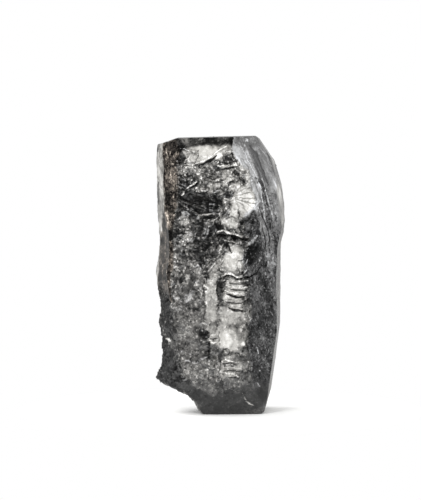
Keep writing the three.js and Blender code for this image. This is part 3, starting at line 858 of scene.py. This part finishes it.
def carve(mesh, solid_mesh, tree, settings):
    """Gives the skin its relief and marks how bright, brown, cool, speckled and glossy it is; its brightness
    holds painted highlights, sheen, shadow and edge light as well as the stone's own shades.
    """
    points, normals = rows_of(mesh, "co"), rows_of(mesh, "normal")
    z = points[:, 2]
    smooth, faces = smooth_shares(points, normals, solid_mesh)
    zones = zones_of(points, normals, smooth, tree)
    rough = 1 + LEFT_LOW_ADDED * zones["left_low"] * zones["seen"]
    for zone, share in EASED.items():
        rough *= 1 - share * zones[zone]
    proud, shade, border = relief_of(points, rough, zones["front"])
    bend = BEND * noise(points, *PATTERNS["bend"]) + FINE_BEND * noise(points, *PATTERNS["fine_bend"])
    tone, pale, brown = tone_of(points, zones, faces, bend, tree)
    speckle = speckle_of(z, zones, faces, tone, pale, brown)
    tone += speckle * contrast_of(points, shade, rough * border)
    line_proud, line_tone, line_strength = strokes(points, bend, tree)
    line_strength *= 0.9 * zones["seen"]
    # Lays on the lips' and cracks' brightness, painted highlights and painted shadow among it.
    tone += (line_tone - tone) * line_strength
    proud += rise(-normals[:, 1], 0.2, 0.5) * line_proud
    set_points(mesh, points + normals * (proud * settings.relief)[:, None])
    # The tone holds painted highlights, a painted sheen, painted shadow and painted light at the edges,
    # beside the stone's own shades.
    mark(mesh, "tone", np.clip(tone, 0, 1))
    mark(mesh, "speckle", speckle)
    mark(mesh, "brown", np.maximum(brown, faces["brown_bevel"] * (1 - pale)))
    mark(mesh, "cool", np.max([faces[name] for name in COOL_FACES], axis=0))
    mark(mesh, "gloss", gloss_of(z, zones))


# Materials

COLOUR_A, COLOUR_B, COLOUR_OUT = 6, 7, 2  # a Mix node's colour sockets, which share their names with others
# Sizes in millimetres of the white grains, of the black ones and of the grains between hair cracks.
SALT, PEPPER, CRACK_GRAIN = 0.085, 0.1, 0.22
PEPPER_MOVED = (0.031, 0.017, 0.023)  # how far in metres the black grains' pattern is moved, to be another
CRACK_BEND, BEND_LENGTH = 0.12, 0.15  # how far a hair crack is bent in millimetres, and over what length


def node(tree, kind, values=None, links=None, stops=(), **settings):
    """Adds a node with its settings, its sockets' values, the sockets that feed it, and a ramp's colours."""
    made = tree.nodes.new("ShaderNode" + kind)
    for name, value in settings.items():
        setattr(made, name, value)
    for name, value in (values or {}).items():
        made.inputs[name].default_value = value
    for name, source in (links or {}).items():
        tree.links.new(source, made.inputs[name])
    for k, (place, colour) in enumerate(stops):
        elements = made.color_ramp.elements
        element = elements[k] if k < len(elements) else elements.new(place)
        element.position = place
        element.color = linear(colour)
    return made


def new_material(name):
    """A material with an empty node tree and its output."""
    material = bpy.data.materials.new(name)
    material.use_nodes = True
    material.node_tree.nodes.clear()
    output = node(material.node_tree, "OutputMaterial")
    return material, material.node_tree, output


def per_mm(size):
    """A pattern's scale for lumps of a size in millimetres, in object coordinates."""
    return 1 / (size * MM)


# Brightness as the eye sees it, from 0 to 1, and the stone's colour there.
GREYS = [
    (0.0, "#030303"),
    (0.2, "#181817"),
    (0.4, "#4E4D4B"),
    (0.6, "#8B8985"),
    (0.8, "#C6C4BF"),
    (1.0, "#FFFEFB"),
]
# Brightness, and how clear the stone is there: black specks and white feathers let little light through.
CLEARNESS = [
    (0.0, "#000000"),
    (0.25, "#707070"),
    (0.6, "#888888"),
    (1.0, "#202020"),
]


def salt_and_pepper(tree, place):
    """White and black grains in clusters, drawn a little coarser than the finest real ones: the white grains'
    pattern, and how much both together brighten or darken the stone."""
    grains = {"Detail": 4.0, "Roughness": 0.65}
    moved = node(tree, "VectorMath", {1: PEPPER_MOVED}, {0: place}).outputs[0]
    salt = node(
        tree, "TexNoise", {**grains, "Scale": per_mm(SALT), "Distortion": 0.4}, {"Vector": place}
    ).outputs["Fac"]
    pepper = node(
        tree, "TexNoise", {**grains, "Scale": per_mm(PEPPER), "Distortion": 0.8}, {"Vector": moved}
    ).outputs["Fac"]
    white = node(tree, "MapRange", {"From Min": 0.53, "From Max": 0.7, "To Max": 0.62}, {"Value": salt})
    black = node(tree, "MapRange", {"From Min": 0.51, "From Max": 0.67, "To Max": 0.46}, {"Value": pepper})
    both = {0: white.outputs[0], 1: black.outputs[0]}
    return salt, node(tree, "Math", links=both, operation="SUBTRACT").outputs[0]


def hair_cracks(tree, place):
    """How much bent hair cracks darken the stone, drawn wider than the real ones so that they show."""
    bent = node(tree, "TexNoise", {"Scale": per_mm(BEND_LENGTH), "Detail": 2.0}, {"Vector": place})
    crack_place = node(
        tree,
        "VectorMath",
        {1: (CRACK_BEND * MM,) * 3},
        {0: bent.outputs["Color"], 2: place},
        operation="MULTIPLY_ADD",
    ).outputs[0]
    crack = node(
        tree,
        "TexVoronoi",
        {"Scale": per_mm(CRACK_GRAIN)},
        {"Vector": crack_place},
        feature="DISTANCE_TO_EDGE",
    ).outputs["Distance"]
    darkness = {"From Min": 0.0, "From Max": 0.09, "To Min": 0.17, "To Max": 0.0}
    return node(tree, "MapRange", darkness, {"Value": crack}).outputs[0]


def included_diamond(settings):
    """Diamond, grown and then broken: clear grey glassy stone of very high gloss, full of white feathers and
    black specks of graphite, so it looks like salt and pepper set in smoky glass."""
    material, tree, output = new_material("diamond_included_broken")
    place = node(tree, "TexCoord").outputs["Object"]
    marks = {
        name: node(tree, "Attribute", attribute_name=name).outputs["Fac"]
        for name in ("tone", "speckle", "brown", "cool", "gloss")
    }
    salt, grains = salt_and_pepper(tree, place)
    both = {0: grains, 1: hair_cracks(tree, place)}
    specks = node(tree, "Math", links=both, operation="SUBTRACT").outputs[0]
    # The marked tone, with its painted light and shade, becomes the base colour and the clearness.
    laid_on = {0: specks, 1: marks["speckle"], 2: marks["tone"]}
    tone = node(tree, "Math", links=laid_on, operation="MULTIPLY_ADD").outputs[0]
    colour = node(tree, "ValToRGB", links={"Fac": tone}, stops=GREYS).outputs["Color"]
    clear = node(tree, "ValToRGB", links={"Fac": tone}, stops=CLEARNESS).outputs["Color"]
    for tint, where in ((settings.brown_tint, "brown"), (settings.cool_tint, "cool")):
        colour = node(
            tree,
            "Mix",
            {COLOUR_B: (*tint, 1)},
            {"Factor": marks[where], COLOUR_A: colour},
            data_type="RGBA",
            blend_type="MULTIPLY",
        ).outputs[COLOUR_OUT]
    roughness = node(tree, "MapRange", {"To Min": 0.6, "To Max": 0.12}, {"Value": marks["gloss"]})
    bump = node(tree, "Bump", {"Strength": 0.3, "Distance": 0.01 * MM}, {"Height": salt})
    # Diamond's own IOR, with a lower specular level, so that less of the pale studio is mirrored.
    shader = node(
        tree,
        "BsdfPrincipled",
        {"IOR": 2.42, "Specular IOR Level": 0.19},
        {
            "Base Color": colour,
            "Roughness": roughness.outputs[0],
            "Transmission Weight": clear,
            "Normal": bump.outputs[0],
        },
    )
    depth = node(tree, "VolumeAbsorption", {"Color": linear("#B4B2AE"), "Density": settings.smoke / MM})
    tree.links.new(shader.outputs[0], output.inputs["Surface"])
    tree.links.new(depth.outputs[0], output.inputs["Volume"])
    return material


def matt_paper(settings):
    """Coated paper, pressed smooth: a plain pale sheet with no gloss."""
    material, tree, output = new_material("paper_pale_matt")
    matt = {"Base Color": (*settings.floor_tint, 1), "Roughness": 0.9, "Specular IOR Level": 0.2}
    shader = node(tree, "BsdfPrincipled", matt)
    tree.links.new(shader.outputs[0], output.inputs["Surface"])
    return material


# What a user may change


class DiamondSettings(bpy.types.PropertyGroup):
    """Sizes and colours of the stone"""

    cell: FloatProperty(
        name="Cell", description="Size of the skin's mesh cells in millimetres", default=0.06, min=0.04
    )
    relief: FloatProperty(
        name="Relief", description="Strength of the ledges, shells and chips", default=1.0, min=0.0
    )
    smoke: FloatProperty(
        name="Smoke", description="How fast the stone swallows light, per millimetre", default=2.0, min=0.0
    )
    brown_tint: FloatVectorProperty(
        name="Brown",
        description="Tint of the brown bevel and strip beside the front",
        subtype="COLOR",
        default=linear("#F2E6DC")[:3],
    )
    cool_tint: FloatVectorProperty(
        name="Cool",
        description="Tint of the smooth faces at the right",
        subtype="COLOR",
        default=linear("#F0F3FA")[:3],
    )


class StageSettings(bpy.types.PropertyGroup):
    """Sizes and colours of the stage"""

    floor_tint: FloatVectorProperty(
        name="Floor", description="Colour of the floor", subtype="COLOR", default=linear("#FAFAF9")[:3]
    )
    lens: FloatProperty(
        name="Lens", description="Focal length of the camera", default=LENS, unit="CAMERA"
    )
    frame_height: FloatProperty(
        name="Frame height",
        description="Height of the picture at the stone in millimetres",
        default=VIEW_TALL,
    )
    camera_height: FloatProperty(
        name="Camera height",
        description="Angle of the camera above the level",
        default=VIEW_RISE,
        subtype="ANGLE",
    )
    key_power: FloatProperty(name="Key light", description="Power of the key light in watts", default=0.012)


# Operators


class DIAMOND_OT_grow_skin(bpy.types.Operator):
    """Lay the broken skin over the solid stone and give it its glassy, included material"""

    bl_idname = "diamond.grow_skin"
    bl_label = "Grow the stone's skin"

    def execute(self, context):
        settings = context.scene.diamond
        solid_mesh = welded(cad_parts[SOLID])
        mesh = even_mesh(solid_mesh, settings.cell)
        finer_front(mesh)
        tree = tree_of(solid_mesh)
        drawn_to(mesh, tree)
        rounded_foot(mesh)
        carve(mesh, solid_mesh, tree, settings)
        mesh.transform(Matrix.Scale(MM, 4))
        mesh.name = "diamond_skin"
        mesh.shade_smooth()
        mesh.set_sharp_from_angle(angle=SHARP_EDGE)
        mesh.materials.clear()
        mesh.materials.append(included_diamond(settings))
        skin = placed("diamond_skin", mesh)
        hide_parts(SOLID)
        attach(skin, BODY)
        return {"FINISHED"}


def placed(name, data):
    """An object in the scene that holds a mesh, a lamp or a camera."""
    made = bpy.data.objects.new(name, data)
    bpy.context.scene.collection.objects.link(made)
    return made


# The soft square lamps: name, place and size in millimetres, and share of the key light's power.
LAMPS = [
    ("key", (-22, -40, 38), 18, 1.0),
    ("glint", (16, -50, 30), 5, 0.12),
    ("back", (-36, 20, 44), 24, 1.0),
]
LAMP_AIM = (0, 0, 5)  # what they are aimed at, in millimetres
FLOOR_RADIUS = 6.8  # in millimetres, small so that little of the floor is mirrored in the stone
NEAREST = 1.0  # the nearest thing that the camera shows, in millimetres


def add_lamp(name, place_mm, size_mm, watts):
    """A square soft lamp at a place, aimed at the middle of the stone."""
    data = bpy.data.lights.new(name, "AREA")
    data.shape = "SQUARE"
    data.size = size_mm * MM
    data.energy = watts
    lamp = placed(name, data)
    lamp.location = Vector(place_mm) * MM
    lamp.rotation_euler = (Vector(LAMP_AIM) - Vector(place_mm)).to_track_quat("-Z", "Y").to_euler()


def add_floor(settings):
    """A round sheet as bright as the backdrop, so that only the stone's shadow shows on it."""
    form = bmesh.new()
    bmesh.ops.create_circle(form, cap_ends=True, segments=96, radius=FLOOR_RADIUS * MM)
    mesh = bpy.data.meshes.new("floor")
    form.to_mesh(mesh)
    form.free()
    mesh.materials.append(matt_paper(settings))
    floor = placed("floor", mesh)


def add_camera(settings):
    """A long lens that looks at the front from a little above."""
    data = bpy.data.cameras.new("camera")
    data.lens = settings.lens
    data.clip_start = NEAREST * MM
    camera = placed("camera", data)
    away = settings.frame_height * settings.lens / data.sensor_width * MM
    up = settings.camera_height
    camera.location = VIEW_AIM * MM + away * Vector((0, -math.cos(up), math.sin(up)))
    camera.rotation_euler = (math.pi / 2 - up, 0, 0)
    bpy.context.scene.camera = camera


def light_the_room():
    """A studio: a white backdrop, a dim room in front of it for the gloss, and even light all round."""
    world = bpy.data.worlds.new("pale_studio")
    world.use_nodes = True
    world.cycles.sampling_method = "NONE"
    tree = world.node_tree
    tree.nodes.clear()
    ray = node(tree, "LightPath").outputs
    way = node(tree, "TexCoord").outputs["Generated"]
    back = node(tree, "SeparateXYZ", links={0: way}).outputs["Y"]
    strengths = {"From Min": 0.0, "From Max": 0.8, "To Min": 0.06, "To Max": 0.45}
    gloss = node(tree, "MapRange", strengths, {"Value": back}, interpolation_type="SMOOTHSTEP").outputs[0]
    white = {"Color": linear("#FFFFFF")}
    room = node(tree, "Background", white, {"Strength": gloss}).outputs[0]
    even = node(tree, "Background", {**white, "Strength": 1.12}).outputs[0]
    backdrop = node(tree, "Background", {**white, "Strength": 1.0}).outputs[0]
    inner = node(tree, "MixShader", links={0: ray["Is Diffuse Ray"], 1: room, 2: even}).outputs[0]
    whole = node(tree, "MixShader", links={0: ray["Is Camera Ray"], 1: inner, 2: backdrop}).outputs[0]
    node(tree, "OutputWorld", links={"Surface": whole})
    bpy.context.scene.world = world


class DIAMOND_OT_set_stage(bpy.types.Operator):
    """Set the pale floor, the soft studio light and the camera"""

    bl_idname = "diamond.set_stage"
    bl_label = "Set the stage"

    def execute(self, context):
        settings = context.scene.diamond_stage
        add_floor(settings)
        light_the_room()
        for name, place, size, share in LAMPS:
            add_lamp(name, place, size, share * settings.key_power)
        add_camera(settings)
        context.scene.view_settings.view_transform = "Standard"
        return {"FINISHED"}


class DIAMOND_PT_panel(bpy.types.Panel):
    """The operators and settings in the 3D view's sidebar"""

    bl_label = "Rough Diamond"
    bl_idname = "DIAMOND_PT_panel"
    bl_space_type = "VIEW_3D"
    bl_region_type = "UI"
    bl_category = "Rough Diamond"

    def draw(self, context):
        for group in (context.scene.diamond, context.scene.diamond_stage):
            for name in group.__annotations__:
                self.layout.prop(group, name)
        self.layout.operator(DIAMOND_OT_grow_skin.bl_idname)
        self.layout.operator(DIAMOND_OT_set_stage.bl_idname)


CLASSES = (
    DiamondSettings,
    StageSettings,
    DIAMOND_OT_grow_skin,
    DIAMOND_OT_set_stage,
    DIAMOND_PT_panel,
)


def register():
    """Registers the classes and puts their settings on the scene."""
    for cls in CLASSES:
        bpy.utils.register_class(cls)
    bpy.types.Scene.diamond = PointerProperty(type=DiamondSettings)
    bpy.types.Scene.diamond_stage = PointerProperty(type=StageSettings)


def unregister():
    """Takes the settings off the scene and the classes out again."""
    del bpy.types.Scene.diamond_stage
    del bpy.types.Scene.diamond
    for cls in reversed(CLASSES):
        bpy.utils.unregister_class(cls)


def main():
    """Registers the add-on and makes the stone and its stage in order."""
    register()
    bpy.ops.diamond.grow_skin()
    bpy.ops.diamond.set_stage()


if __name__ == "__main__":
    main()
